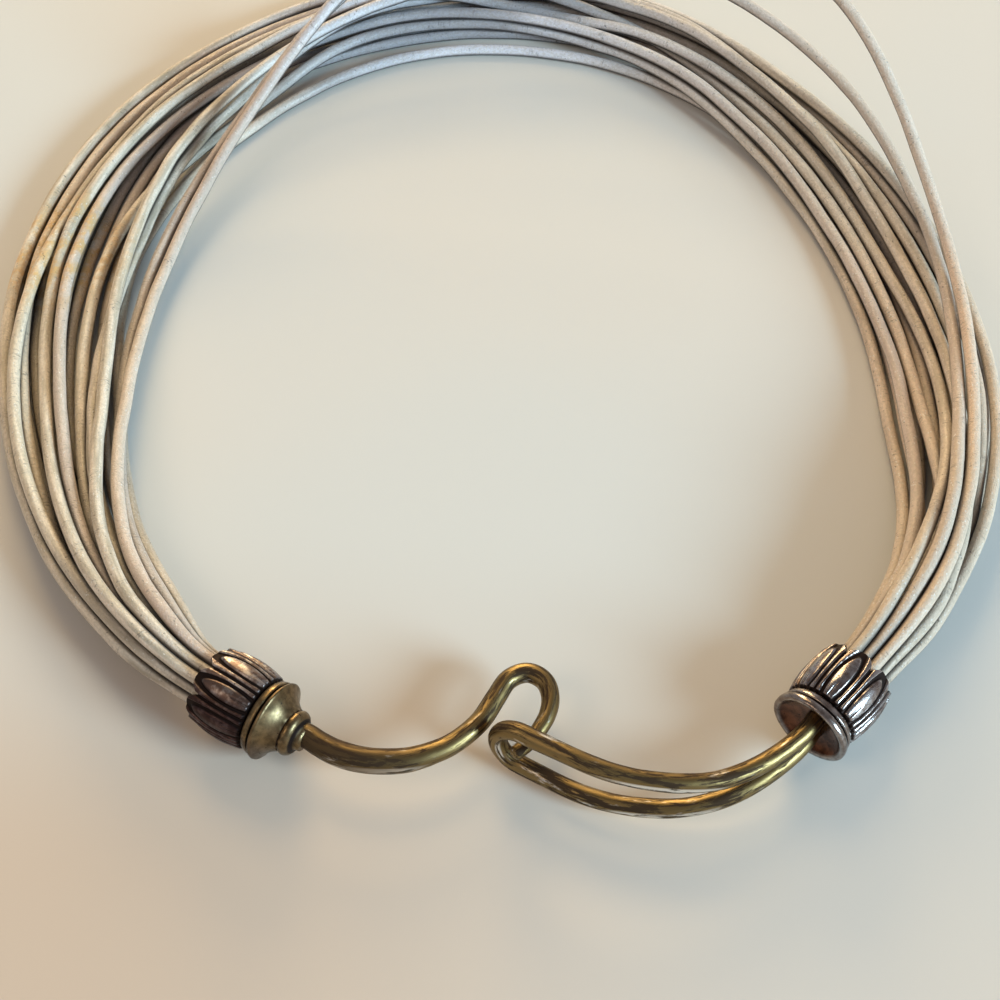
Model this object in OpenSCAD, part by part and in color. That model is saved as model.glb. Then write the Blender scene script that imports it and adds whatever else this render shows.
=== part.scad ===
// Collar necklace of nineteen round leather strands, laid as a ring on a table.
// Two cast cups with petals hold the strands, and a wire hook sits in a long wire eye.
// Lengths are in millimetres. The table is z = 0 and the clasp is towards -Y.

/* [Strands] */
// Thickness of one round leather strand
strand_d = 2; // [1.8:0.05:2]
// Air between strands that lie on one another
strand_gap = 0.06; // [0.04:0.01:0.07]
// Rise of the two sprung strands, as a share of the rise shown
spring_rise = 1; // [0.5:0.05:1.2]
// Length of strand inside each cup
held_len = 5; // [4:0.5:5]

/* [End cups] */
// Radius of a cup over its raised lobes
cup_r = 6.2; // [6.15:0.05:6.3]
// Number of petals round each mouth
petal_count = 8; // [7:1:9]
// Length of a petal from its tip to the band
petal_len = 9.3; // [9:0.1:9.6]
// Height of the cast relief on a petal
relief = 0.35; // [0.2:0.05:0.35]
// Width of the flat band behind the petals
band_w = 1.1; // [0.9:0.1:1.4]
// Length of the bell behind the lip of the hook cup
bell_len = 2.5; // [2.2:0.1:3]

/* [Clasp] */
// Thickness of the wire of the eye, which the taper of the hook follows
wire_d = 2.7; // [2.4:0.1:2.8]
// Height of each leg of the eye above or below the hook
eye_half = 3.8; // [3.5:0.05:3.9]

/* [Hidden] */
// The node to draw, or all of them

// Centre of the ring in plan, which puts the whole part in the middle of the frame
ring_c = [1.375, 0.96];
// Mean radius of the lying bundle
ring_r = 72;
strand_r = strand_d / 2;
pitch = strand_d + strand_gap;
// Height of both cup axes over the table, with the petal corners just clear of it
cup_z = cup_r + 0.18;
// Radius of the ring that strand centres keep to against the wall of a cup
seat_r = 4.15;
// Way over which the strands climb from the table to a cup
climb_len = 24;
// Flattening passes that keep a strand from kinking where it climbs over others
stiff_passes = 4;

// Mouths: bearing from the ring centre, radius, slope of the radius into the cup,
// and which way along the ring the cup lies
left_mouth = [238.7, 79.6, 0.06, 1];
right_mouth = [-52.4, 83.6, 0.215, -1];
left_aim = -33;
right_aim = 228;

// Bearings at which the table below gives the place of each strand
stations = [195, 165, 135, 105, 75, 45, 15, -15];

// One row per strand, lowest first. Slots count half strand widths from the cup axis,
// outer side positive. The rest is the offset from ring_r at each station.
strands = [
    // left slot, right slot, 195, 165, 135, 105, 75, 45, 15, -15
    [ 2,  2,   7.0,   9.9,  13.6,  13.8,  10.8,   4.4,   2.9,   7.6],
    [ 0,  0,   2.8,   5.4,   9.2,  10.2,   8.6,   2.3,   0.6,   5.2],
    [-2, -2,  -1.6,  -0.8,   4.6,   5.6,   4.2,  -1.8,  -4.0,   0.6],
    [-3, -3,  -6.8,  -5.9,   0.0,   1.0,  -0.1,  -6.0,  -8.6,  -4.0],
    [ 1,  1,   4.9,   7.7,  11.4,  12.0,   9.7,   3.3,   1.8,   6.4],
    [-1, -1,   0.7,   3.1,   6.9,   7.9,   6.4,  0.25,  -1.7,   2.9],
    [ 3,  3,   4.9,   7.0,  10.2,  10.8,   7.9,   1.8,   0.8,   5.5],
    [-4, -2,  -9.5,  -8.4,  -7.1,  -3.6,  -4.6,  -8.3, -10.9,  -6.3],
    [-2,  0,  -4.0,  -3.4,   2.3,   3.3,   2.1,  -3.7,  -6.3,  -1.7],
    [ 2, -1,  -0.5,   1.2,   5.7,   6.7,   5.5,  -0.4,  -2.9,   1.8],
    [ 4,  4,   7.8,   9.5,  12.6,  12.6,   8.9,   2.1,   2.0,   8.0],
    [ 0, -4,  -3.9,  -4.6,  -4.4,   2.0,  -2.3, -10.6, -13.2,  -8.6],
    [ 1, -3,  -1.0,   0.5,   3.0,   3.4,  -1.9,  -9.2, -12.1,  -6.5],
    [-1,  2,  -6.0,  -8.8,  -3.1,   5.5,   6.8,  -0.6,  -1.8,   3.6],
    [ 3,  1,   6.2,   5.0,   7.0,   8.6,   3.4,  -6.3,  -9.5,  -3.9],
    [ 2, -2,   1.5,   3.0,   5.0,   5.8,   1.0,  -4.2,  -7.2,  -0.4],
    [ 0,  3,  -7.8,  -8.4,  -2.4,   3.5,   4.6,  -1.9,  -4.4,   1.6],
    [-3,  0, -10.2, -12.8, -10.0,   1.0,   3.7,   4.0,   0.8,   1.2],
    [-2,  2, -11.4, -15.0, -11.8,  -2.0,   4.6,   5.2,   1.6,   3.4]
];
first_sprung = 17;
// Rise of the two sprung strands over the table at each station
spring_rises = [
    [0, 2.5,  8.5, 19, 20, 14,  7.5, 0],
    [0, 2.5, 10.0, 24, 31, 28, 12.0, 0]
];

// Hook from the ring centre: x, y, height from the cup axis, and thickness of the wire
hook_line = [
    [-29.0, -76.0,  0.00, 3.60], [-26.5, -76.9,  0.00, 3.52], [-24.6, -78.2,  0.00, 3.50],
    [-22.2, -79.5, -0.05, 3.60], [-19.3, -80.4, -0.10, 3.65], [-16.3, -80.7, -0.20, 3.60],
    [-12.8, -80.5, -0.25, 3.40], [ -9.5, -79.5, -0.25, 3.15], [ -6.2, -77.8, -0.25, 3.00],
    [ -2.8, -74.6, -0.25, 2.92], [ -0.6, -70.9, -0.25, 2.88], [  1.2, -68.0, -0.25, 2.86],
    [  3.8, -66.9, -0.25, 2.84], [  6.1, -68.1, -0.25, 2.78], [  7.0, -70.6, -0.25, 2.64],
    [  6.6, -73.4, -0.25, 2.46], [  5.4, -75.8, -0.25, 2.30], [  3.8, -77.9, -0.25, 2.22],
    [  2.2, -79.4, -0.25, 2.15]
];
// Eye in plan from the ring centre: x, y, height of a leg, and how far the legs lean apart
eye_line = [
    [43.9, -74.1, 1.45, 0.00], [42.0, -76.8, 1.43, 0.10], [40.1, -78.7, 1.42, 0.20],
    [36.8, -81.3, 1.50, 0.30], [33.1, -83.5, 1.75, 0.40], [29.0, -85.1, 2.15, 0.45],
    [24.5, -85.8, 2.70, 0.50], [20.0, -85.6, 3.10, 0.50], [16.0, -84.9, 3.40, 0.50],
    [12.3, -83.7, 3.65, 0.50], [ 9.3, -82.3, 3.80, 0.50], [ 6.1, -80.6, 3.80, 0.45],
    [ 3.0, -78.9, 3.80, 0.40]
];

rings = 62;
idx = [0:rings - 1];
from_a = left_mouth[0] + held_len / left_mouth[1] * 180 / PI;
to_a = right_mouth[0] - held_len / right_mouth[1] * 180 / PI;
angles = [for (k = idx) from_a + (to_a - from_a) * k / (rings - 1)];
bearings = concat([from_a, left_mouth[0], 225], stations, [-40, right_mouth[0], to_a]);

leather = [0.90, 0.87, 0.82];
silver = [0.62, 0.58, 0.50];

// Smooth curve through a table of values y at falling places x
function grade(x, y, k) =
    let (a = max(k - 1, 0), b = min(k + 1, len(x) - 1))
    (y[b] - y[a]) / (x[b] - x[a]);
function span_of(x, v, i = 0) =
    (i >= len(x) - 2 || v >= x[i + 1]) ? i : span_of(x, v, i + 1);
function blend4(p, q, m, n, t) =
    (2 * t * t * t - 3 * t * t + 1) * p + (t * t * t - 2 * t * t + t) * m
    + (3 * t * t - 2 * t * t * t) * q + (t * t * t - t * t) * n;
function curve_at(x, y, v) =
    let (i = span_of(x, v), w = x[i + 1] - x[i])
    blend4(y[i], y[i + 1], grade(x, y, i) * w, grade(x, y, i + 1) * w, (v - x[i]) / w);

// Smooth line through points p, with m steps from each point to the next
function knot_dir(p, k) = (p[min(k + 1, len(p) - 1)] - p[max(k - 1, 0)]) / 2;
function line_through(p, m) = concat(
    [for (k = [0:len(p) - 2], j = [0:m - 1])
        blend4(p[k], p[k + 1], knot_dir(p, k), knot_dir(p, k + 1), j / m)],
    [p[len(p) - 1]]);

// Radius of a strand from the ring centre, at the places of "bearings"
function near_left(slot) = 4.6 + (slot > 0 ? 1.35 : 1.55) * slot;
function near_right(slot) = 8.3 + 1.15 * slot;
function radii_of(row) =
    let (left = left_mouth[1] + row[0] * pitch / 2, right = right_mouth[1] + row[1] * pitch / 2)
    concat(
        [left + left_mouth[2] * held_len, left, ring_r + near_left(row[0])],
        [for (i = [2:9]) ring_r + row[i]],
        [ring_r + near_right(row[1]), right, right + right_mouth[2] * held_len]);
radii = [for (row = strands) let (y = radii_of(row)) [for (a = angles) curve_at(bearings, y, a)]];

// Height at which a strand rests on the table, or in the hollow of a cup near its mouth
function ease(t) = let (c = min(max(t, 0), 1)) c * c * (3 - 2 * c);
function hollow_z(off) = cup_z - sqrt(max(seat_r * seat_r - off * off, 0));
function rest_z(a, r) = max([for (m = [left_mouth, right_mouth])
    let (away = m[3] * (m[0] - a) * PI / 180 * m[1], off = r - m[1] + away * m[2])
    strand_r + (hollow_z(off) - strand_r) * (1 - ease(away / climb_len))]);
// Height that a strand needs over another whose centre lies dr to one side
function over(dr) = abs(dr) < pitch ? sqrt(pitch * pitch - dr * dr) : -99;
// Closest the two come to each other between a third of a step before ring k and after it
function aside(i, j, k) = radii[i][k] - radii[j][k];
function partway(p, q) = p + (q - p) * 0.35;
function closest(i, j, k) =
    let (here = aside(i, j, k),
        before = partway(here, aside(i, j, max(k - 1, 0))),
        after = partway(here, aside(i, j, min(k + 1, rings - 1))))
    here * before <= 0 || here * after <= 0 ? 0 : min(abs(here), abs(before), abs(after));
// Height of a sprung strand, and zero for the others
function sprung_z(i, a) = i < first_sprung ? 0 :
    spring_rise * curve_at(bearings, concat([0, 0, 0], spring_rises[i - first_sprung], [0, 0, 0]), a);

function flatten(z, passes) = passes == 0 ? z :
    flatten([for (k = idx) (k == 0 || k == rings - 1) ? z[k] :
        max(z[k], (z[k - 1] + z[k + 1]) / 2)], passes - 1);
function heights_of(i, below) = flatten([for (k = idx) max(concat(
    [rest_z(angles[k], radii[i][k]), sprung_z(i, angles[k])],
    [for (j = [0:1:i - 1]) below[j][k] + over(closest(i, j, k))]))], stiff_passes);
function pile_up(i = 0, below = []) =
    i == len(strands) ? below : pile_up(i + 1, concat(below, [heights_of(i, below)]));
heights = pile_up();

function unit(v) = v / norm(v);
function heading(p, k) = unit(p[min(k + 1, len(p) - 1)] - p[max(k - 1, 0)]);
function level_side(t) = unit([t[1], -t[0], 0]);

// Round wire or strand of n sides along a path, with its own radius and side at each ring
module swept(path, sides, radius, n) {
    last = len(path) - 1;
    points = [for (k = [0:last])
        let (t = heading(path, k), s = sides[k], up = cross(s, t))
        for (i = [0:n - 1]) path[k] + radius[k] * (sin(360 * i / n) * s - cos(360 * i / n) * up)];
    walls = [for (k = [0:last - 1], i = [0:n - 1])
        let (a = k * n + i, b = k * n + (i + 1) % n)
        each [[a, b, b + n], [a, b + n, a + n]]];
    ends = [[for (i = [n - 1:-1:0]) i], [for (i = [0:n - 1]) last * n + i]];
    polyhedron(points = points, faces = concat(walls, ends));
}

// One leather strand, by its row in the table
module strand(i) {
    path = [for (k = idx) [
        ring_c[0] + radii[i][k] * cos(angles[k]),
        ring_c[1] + radii[i][k] * sin(angles[k]),
        heights[i][k]]];
    color(leather)
        swept(path, [for (k = idx) level_side(heading(path, k))], [for (k = idx) strand_r], 6);
}

// Places along a cup axis, from the mouth inwards
bore_r = 5.6;
bore_len = held_len + 1.4;
tip_at = 0.9;
foot_at = tip_at + petal_len;
band_at = foot_at + 0.2;
groove_w = 0.3;
lip_at = band_at + band_w + groove_w;
lip_w = 0.7;
flange_w = 1.3;
bead_w = 1.6;
bead_at = lip_at + lip_w + bell_len;

// Flat outline of a petal with a round tip and a straight foot, of half width w
module petal_outline(w, tip, foot) {
    translate([0, tip + w]) circle(r = w, $fn = 48);
    translate([-w, tip + w]) square([2 * w, foot - tip - w]);
}

// Flat oval of half width w between two places along a petal, cut off straight at its foot
module oval_outline(w, first, last, foot) {
    half = (last - first) / 2;
    cut = asin((foot - first - half) / half);
    polygon([for (i = [0:18]) let (a = cut - i * (180 + 2 * cut) / 18)
        [w * cos(a), first + half + half * sin(a)]]);
}

// Stands a flat outline up on each petal, between two distances from the cup axis
module on_each_petal(turn, near, far) {
    for (i = [0:petal_count - 1])
        rotate([0, 0, 360 / petal_count * (i + turn)])
            rotate([90, 0, 90])
                translate([0, 0, near])
                    linear_extrude(height = far - near)
                        children();
}

// Half width of a petal, and distance of its ground from the cup axis
petal_w = (cup_r - 0.5) * tan(180 / petal_count) - 0.22;
petal_r = cup_r - relief;

// Petals in three heights of relief: ground, raised edge and long oval lobe
module petals(turn) {
    on_each_petal(turn, bore_r + 0.04, petal_r + 0.04)
        petal_outline(petal_w, tip_at, foot_at - 0.35);
    on_each_petal(turn, bore_r + 0.08, petal_r + relief * 0.45)
        difference() {
            petal_outline(petal_w - 0.03, tip_at + 0.03, foot_at - 0.2);
            oval_outline(petal_w - 0.55, tip_at + 0.6, foot_at + 2.1, foot_at - 0.1);
        }
    on_each_petal(turn, bore_r + 0.08, cup_r)
        oval_outline(petal_w - 1, tip_at + 1.05, foot_at + 1.5, foot_at - 0.25);
}

// Turned part of both cups: bore, ground of the petals, groove, flat band and groove
function band_line() = [
    [0, bore_len], [bore_r, bore_len], [bore_r, tip_at + petal_w + 0.1],
    [petal_r, tip_at + petal_w + 0.1], [petal_r, foot_at - 0.2], [4.75, foot_at], [4.75, band_at],
    [5.25, band_at], [5.45, band_at + 0.2], [5.6, band_at + band_w - 0.2],
    [5.45, band_at + band_w], [4.95, band_at + band_w], [4.95, lip_at]
];
function bell_line() = concat(band_line(), [
    [5.6, lip_at], [5.85, lip_at + 0.15], [5.9, lip_at + 0.4], [5.75, lip_at + lip_w]],
    [for (i = [1:9]) [3.2 + 2.4 * pow(1 - i / 9, 1.7), lip_at + lip_w + bell_len * i / 9]], [
    [3.34, bead_at + 0.2], [3.38, bead_at + 0.55], [3.3, bead_at + 0.9], [3.1, bead_at + 1.2],
    [2.7, bead_at + 1.45], [2.1, bead_at + bead_w], [0, bead_at + bead_w]]);
function flange_line() = concat(band_line(), [
    [5.6, lip_at], [5.85, lip_at + 0.2], [5.95, lip_at + 0.6], [5.93, lip_at + 1],
    [5.6, lip_at + flange_w], [5.35, lip_at + flange_w], [4.9, lip_at + flange_w - 0.4],
    [4.2, lip_at + flange_w - 0.95], [3.2, lip_at + flange_w - 1.15], [0, lip_at + flange_w - 1.15]]);

module cup_on_axis(line, turn) {
    rotate_extrude($fn = 96) polygon(line);
    petals(turn);
}

// A cup laid with its mouth at one end of the bundle
module cup_in_place(mouth, aim, line, turn) {
    translate([
        ring_c[0] + mouth[1] * cos(mouth[0]),
        ring_c[1] + mouth[1] * sin(mouth[0]), cup_z])
        rotate([0, 90, aim])
            cup_on_axis(line, turn);
}

// Cup with the bell, and the hook soldered to its bead
module hook_cup() {
    raw = line_through([for (p = hook_line)
        [ring_c[0] + p[0], ring_c[1] + p[1], cup_z + p[2], p[3] / 2 * wire_d / 2.7]], 2);
    path = concat([for (p = raw) [p[0], p[1], p[2]]],
        let (p = raw[len(raw) - 1], q = raw[len(raw) - 2], way = unit([p[0] - q[0], p[1] - q[1], 0]))
        [[p[0], p[1], p[2]] + way * 0.6]);
    last = len(path) - 1;
    color(silver) {
        cup_in_place(left_mouth, left_aim, bell_line(), 0.5);
        swept(path, [for (k = [0:last]) level_side(heading(path, k))],
            [for (k = [0:last]) k == last ? 0.6 : raw[k][3] * (k == last - 1 ? 0.9 : 1)], 10);
    }
}

// Cup with the flange, and the long eye soldered into its dished end
module eye_cup() {
    last = len(eye_line) - 1;
    mid_z = cup_z - 0.25;
    grow = eye_half / 3.8;
    plan = [for (p = eye_line) [ring_c[0] + p[0], ring_c[1] + p[1], 0]];
    way = [for (k = [0:last]) heading(plan, k)];
    back = [for (t = way) level_side(t)];
    // One leg, over the middle for up = 1 and under it for up = -1
    function leg(k, up) = plan[k] + up * eye_line[k][3] * back[k]
        + [0, 0, mid_z + 0.25 * max(0, 1 - k / 4) + up * eye_line[k][2] * (k > 3 ? grow : 1)];
    path = concat(
        [for (k = [0:last]) leg(k, 1)],
        [for (a = [75, 45, 15, -15, -45, -75]) plan[last] + [0, 0, mid_z]
            + eye_half * (cos(a) * way[last] + [0, 0, sin(a)]) + eye_line[last][3] * sin(a) * back[last]],
        [for (k = [last:-1:0]) leg(k, -1)]);
    sides = concat(back, [for (i = [1:6]) back[last]], [for (k = [last:-1:0]) back[k]]);
    color(silver) {
        cup_in_place(right_mouth, right_aim, flange_line(), 0);
        swept(path, sides, [for (k = path) wire_d / 2], 10);
    }
}

strand(0);  // strand_01
strand(1);  // strand_02
strand(2);  // strand_03
strand(3);  // strand_04
strand(4);  // strand_05
strand(5);  // strand_06
strand(6);  // strand_07
strand(7);  // strand_08
strand(8);  // strand_09
strand(9);  // strand_10
strand(10);  // strand_11
strand(11);  // strand_12
strand(12);  // strand_13
strand(13);  // strand_14
strand(14);  // strand_15
strand(15);  // strand_16
strand(16);  // strand_17
strand(17);  // sprung_strand_inner
strand(18);  // sprung_strand_outer
hook_cup();
eye_cup();
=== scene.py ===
from math import cos, pi, radians, sin

import bpy
import numpy as np
from bpy.props import FloatProperty, FloatVectorProperty, IntProperty, PointerProperty
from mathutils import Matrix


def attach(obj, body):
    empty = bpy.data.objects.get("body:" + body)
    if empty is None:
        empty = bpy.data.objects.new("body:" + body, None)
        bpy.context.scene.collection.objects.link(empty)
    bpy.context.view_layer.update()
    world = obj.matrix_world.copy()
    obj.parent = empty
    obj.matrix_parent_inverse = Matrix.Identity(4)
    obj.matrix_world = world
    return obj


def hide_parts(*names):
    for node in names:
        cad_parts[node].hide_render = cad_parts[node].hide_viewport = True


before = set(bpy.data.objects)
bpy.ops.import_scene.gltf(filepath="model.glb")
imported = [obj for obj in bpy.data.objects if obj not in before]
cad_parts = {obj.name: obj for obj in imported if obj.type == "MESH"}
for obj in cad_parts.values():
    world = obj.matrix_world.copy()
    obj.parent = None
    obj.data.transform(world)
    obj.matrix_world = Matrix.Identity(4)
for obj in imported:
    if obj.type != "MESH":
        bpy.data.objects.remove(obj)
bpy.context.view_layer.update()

bl_info = {
    "name": "Leather strand collar",
    "version": (1, 0, 0),
    "blender": (4, 5, 0),
    "location": "3D View > Sidebar > Collar",
    "description": "Dresses a collar of round leather strands with cast cups, a hook and an eye",
    "category": "Object",
}

MM = 0.001

# Places shared with the solids, in millimetres and degrees
RING_X, RING_Y = 1.375, 0.96
CUP_Z = 6.38
# Rings of points in the solid of a strand, and points in each
RINGS, RING_POINTS = 62, 6
LYING_NODES = [f"strand_{k:02d}" for k in range(1, 18)]
SPRUNG_NODES = ["sprung_strand_inner", "sprung_strand_outer"]
STRAND_NODES = LYING_NODES + SPRUNG_NODES
# Bearing and radius of a mouth from the middle of the ring, and the bearing of its cup's axis
HOOK_MOUTH, HOOK_AIM = (238.7, 79.6), -33.0
EYE_MOUTH, EYE_AIM = (-52.4, 83.6), 228.0
# Knots of the hook: x, y, height over the cup axis and diameter of the wire
HOOK_LINE = [
    (-29.0, -76.0, 0.00, 3.60), (-26.5, -76.9, 0.00, 3.52), (-24.6, -78.2, 0.00, 3.50),
    (-22.2, -79.5, -0.05, 3.60), (-19.3, -80.4, -0.10, 3.65), (-16.3, -80.7, -0.20, 3.60),
    (-12.8, -80.5, -0.25, 3.40), (-9.5, -79.5, -0.25, 3.15), (-6.2, -77.8, -0.25, 3.00),
    (-2.8, -74.6, -0.25, 2.92), (-0.6, -70.9, -0.25, 2.88), (1.2, -68.0, -0.25, 2.86),
    (3.8, -66.9, -0.25, 2.84), (6.1, -68.1, -0.25, 2.78), (7.0, -70.6, -0.25, 2.64),
    (6.6, -73.4, -0.25, 2.46), (5.4, -75.8, -0.25, 2.30), (3.8, -77.9, -0.25, 2.22),
    (2.2, -79.4, -0.25, 2.15)]
# Knots of the eye: x, y, height of each leg over and under its middle, and how far the legs lean apart
EYE_LINE = [
    (43.9, -74.1, 1.45, 0.00), (42.0, -76.8, 1.43, 0.10), (40.1, -78.7, 1.42, 0.20),
    (36.8, -81.3, 1.50, 0.30), (33.1, -83.5, 1.75, 0.40), (29.0, -85.1, 2.15, 0.45),
    (24.5, -85.8, 2.70, 0.50), (20.0, -85.6, 3.10, 0.50), (16.0, -84.9, 3.40, 0.50),
    (12.3, -83.7, 3.65, 0.50), (9.3, -82.3, 3.80, 0.50), (6.1, -80.6, 3.80, 0.45),
    (3.0, -78.9, 3.80, 0.40)]


# ---------------------------------------------------------------- settings

def length(name, text, value):
    """A length property in metres."""
    return FloatProperty(name=name, description=text, default=value, min=0.0, max=0.05, unit="LENGTH")


def share(name, text, value, high=1.0):
    """A plain factor."""
    return FloatProperty(name=name, description=text, default=value, min=0.0, max=high, subtype="FACTOR")


def colour(name, text, value):
    """A colour property."""
    return FloatVectorProperty(name=name, description=text, default=value, size=3, min=0.0, max=1.0,
                               subtype="COLOR")


def power(name, text, value):
    """A lamp's power in watts."""
    return FloatProperty(name=name, description=text, default=value, min=0.0, unit="POWER")


class StrandSettings(bpy.types.PropertyGroup):
    """Sizes and colours of the leather strands."""

    thickness: length("Thickness", "Diameter of a strand along its free length", 0.00202)
    mouth_thickness: length("Thickness in the cup", "Diameter of a strand squeezed in a cup", 0.00170)
    squeeze: share("Squeeze", "How far the strands close up round the cup axis", 0.18)
    squeeze_way: length("Squeeze way", "Length over which the strands close up", 0.014)
    waver: length("Waver", "Sideways wander of a strand", 0.00007)
    unevenness: share("Unevenness", "Change of thickness along and round a strand", 0.022)
    sides: IntProperty(name="Sides", description="Points round a strand", default=14, min=8, max=20)
    steps: IntProperty(name="Steps", description="Rings between two points of the path", default=8,
                       min=2, max=12)
    pearl: colour("Pearl", "Pale face of the leather", (0.95, 0.83, 0.69))
    # Cream at the left, cool at the back and blush at the right of the ring are painted light tints; blush is
    # also a random tone of some strands
    cream: colour("Cream", "Warm pale stretches at the left of the ring", (0.98, 0.83, 0.61))
    shade: colour("Shade", "Duller stretches of the leather", (0.47, 0.40, 0.30))
    cool: colour("Cool", "Bluish stretches at the back of the ring", (0.74, 0.75, 0.84))
    blush: colour("Blush", "Peach stretches at the right of the ring", (0.90, 0.66, 0.48))
    mauve: colour("Mauve", "Body of the greyer strands", (0.56, 0.44, 0.42))
    # Soil is the dirt in the leather's ticks and pits, and also the painted shade on lower flanks, under
    # covering strands and where strands touch
    soil_and_shade: colour("Soil", "Dirt in creases and on the flanks", (0.026, 0.017, 0.013))
    stain: colour("Stain", "Orange gold stain at the left of the ring", (0.72, 0.43, 0.13))
    fleck: colour("Fleck", "Bright silvery flecks", (0.90, 0.89, 0.86))


class CupSettings(bpy.types.PropertyGroup):
    """Sizes and colours of the two cast cups."""

    petals: IntProperty(name="Petals", description="Petals round a mouth", default=8, min=5, max=12)
    mouth_r: length("Mouth radius", "Radius of the petal ground at the tips", 0.00495)
    belly_r: length("Belly radius", "Radius of the petal ground at the belly", 0.00575)
    foot_r: length("Foot radius", "Radius of the petal ground at the band", 0.00520)
    tip_at: length("Tip place", "Place of the petal tips along the axis", 0.0009)
    notch: length("Notch", "Depth of the notch between two tips", 0.0017)
    relief: length("Relief", "Height of the cast relief", 0.00054)
    silver: colour("Silver", "Worn silver on the ridges", (0.68, 0.63, 0.62))
    bloom: colour("Bloom", "Brown grey tarnish on the flanks", (0.18, 0.13, 0.112))
    soot: colour("Soot", "Blackened grooves", (0.020, 0.012, 0.010))
    gilt: colour("Gilt", "Olive gold tarnish of the turned parts", (0.27, 0.19, 0.10))
    # Umber is painted shade on the lower side of the cups
    umber: colour("Umber", "Dark purplish brown on the lower side of the hook cup", (0.062, 0.031, 0.030))
    dish: colour("Dish", "Brown tarnish in the dished flange", (0.125, 0.050, 0.028))


class ClaspSettings(bpy.types.PropertyGroup):
    """Sizes and colours of the hook and the eye."""

    wire: length("Wire", "Diameter of the wire of the eye", 0.00268)
    dents: share("Dents", "Unevenness of the drawn wire", 0.018)
    gilt: colour("Gilt", "Olive gold tarnish", (0.24, 0.166, 0.07))
    # Worn is the bright metal under the tarnish, and also the colour of the painted highlight low on the
    # front of the wire
    worn_and_painted_light: colour("Worn", "Bright metal where the tarnish is rubbed off", (0.86, 0.82, 0.76))
    umber: colour("Umber", "Browner tarnish beside the bead of the cup", (0.105, 0.074, 0.038))
    streak: colour("Streak", "Dark brown streaks", (0.055, 0.032, 0.016))


class StageSettings(bpy.types.PropertyGroup):
    """Colours of the floor, and strengths of the lamps and the surround."""

    floor: colour("Floor", "Pale floor", (0.745, 0.70, 0.64))
    floor_cool: colour("Floor, cool", "Cooler areas of the floor", (0.71, 0.70, 0.665))
    # The rosy floor colour is painted warm shade in front at the left
    floor_rosy: colour("Floor, rosy", "Rosier area in front at the left", (0.655, 0.52, 0.41))
    warm_power: power("Warm lamp", "Power of the lamp behind at the left", 5.2)
    low_warm_power: power("Low warm lamp", "Power of the low lamp behind", 11.4)
    fill_power: power("Fill lamp", "Power of the warm lamp in front at the left", 1.15)
    cool_power: power("Cool lamp", "Power of the lamp in front at the right", 32.0)
    low_sky: share("Low surround", "Strength of the even light near the horizon", 0.48, 5.0)
    high_sky: share("High surround", "Strength of the even light overhead", 0.215, 5.0)


# ---------------------------------------------------------------- shapes

# Waves in a drift, and its swing
DRIFT_WAVES, DRIFT_SWING = 5, 1.6


def ease(t):
    """Smooth step from 0 to 1."""
    t = np.clip(t, 0.0, 1.0)
    return t * t * (3 - 2 * t)


def hump(x, low, high, soft):
    """1 between low and high, falling to 0 over soft on either side."""
    return ease((x - low) / soft + 0.5) * ease((high - x) / soft + 0.5)


def unit(v):
    """Rows of v at length 1."""
    return v / np.maximum(np.linalg.norm(v, axis=-1, keepdims=True), 1e-12)


def smooth_line(points, steps):
    """A smooth line through the points, with steps from each to the next."""
    p = np.asarray(points, float)
    slope = np.gradient(p, axis=0)
    slope[0], slope[-1] = (p[1] - p[0]) / 2, (p[-1] - p[-2]) / 2
    t = (np.arange(steps) / steps)[None, :, None]
    a, b = p[:-1, None], p[1:, None]
    m, n = slope[:-1, None], slope[1:, None]
    line = ((2 * t**3 - 3 * t**2 + 1) * a + (t**3 - 2 * t**2 + t) * m
            + (3 * t**2 - 2 * t**3) * b + (t**3 - t**2) * n)
    return np.vstack([line.reshape(-1, p.shape[1]), p[-1:]])


def run_of(path):
    """Distance along a path at each of its points."""
    return np.concatenate([[0.0], np.cumsum(np.linalg.norm(np.diff(path, axis=0), axis=1))])


def drift(rng, run, wave):
    """Smooth seeded wander between about -1 and 1 along a run, with that wave length."""
    out = np.zeros_like(run)
    for _ in range(DRIFT_WAVES):
        own_wave, phase = wave * rng.uniform(0.6, 1.9), rng.uniform(0, 2 * pi)
        out += np.sin(2 * pi * run / own_wave + phase) / DRIFT_WAVES
    return out * DRIFT_SWING


def ring_faces(rings, around):
    """Faces between rings of points, and the one that closes the first ring."""
    k, i = np.meshgrid(np.arange(rings - 1), np.arange(around), indexing="ij")
    j = (i + 1) % around
    quads = np.stack([k * around + i, k * around + j, (k + 1) * around + j, (k + 1) * around + i], -1)
    return [tuple(map(int, quad)) for quad in quads.reshape(-1, 4)] + [tuple(range(around - 1, -1, -1))]


def swept(path, radius, sides, side_dir=None):
    """Points, faces and lay (round, round, along) of a tube. radius has a row a ring and a value a side."""
    n = len(path)
    heading = unit(np.gradient(path, axis=0))
    if side_dir is None:
        side_dir = unit(np.stack([heading[:, 1], -heading[:, 0], np.zeros(n)], -1))
    up = np.cross(side_dir, heading)
    a = 2 * pi * np.arange(sides) / sides
    ring = np.sin(a)[None, :, None] * side_dir[:, None] - np.cos(a)[None, :, None] * up[:, None]
    points = path[:, None] + radius[..., None] * ring
    run = run_of(path)
    lay = np.stack([radius * np.sin(a), radius * np.cos(a), np.repeat(run[:, None], sides, 1)], -1)
    faces = ring_faces(n, sides) + [tuple((n - 1) * sides + i for i in range(sides))]
    return points.reshape(-1, 3), faces, lay.reshape(-1, 3)


def place_in_scene(name, data):
    """A new object of that name in the scene."""
    made = bpy.data.objects.new(name, data)
    bpy.context.scene.collection.objects.link(made)
    return made


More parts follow.
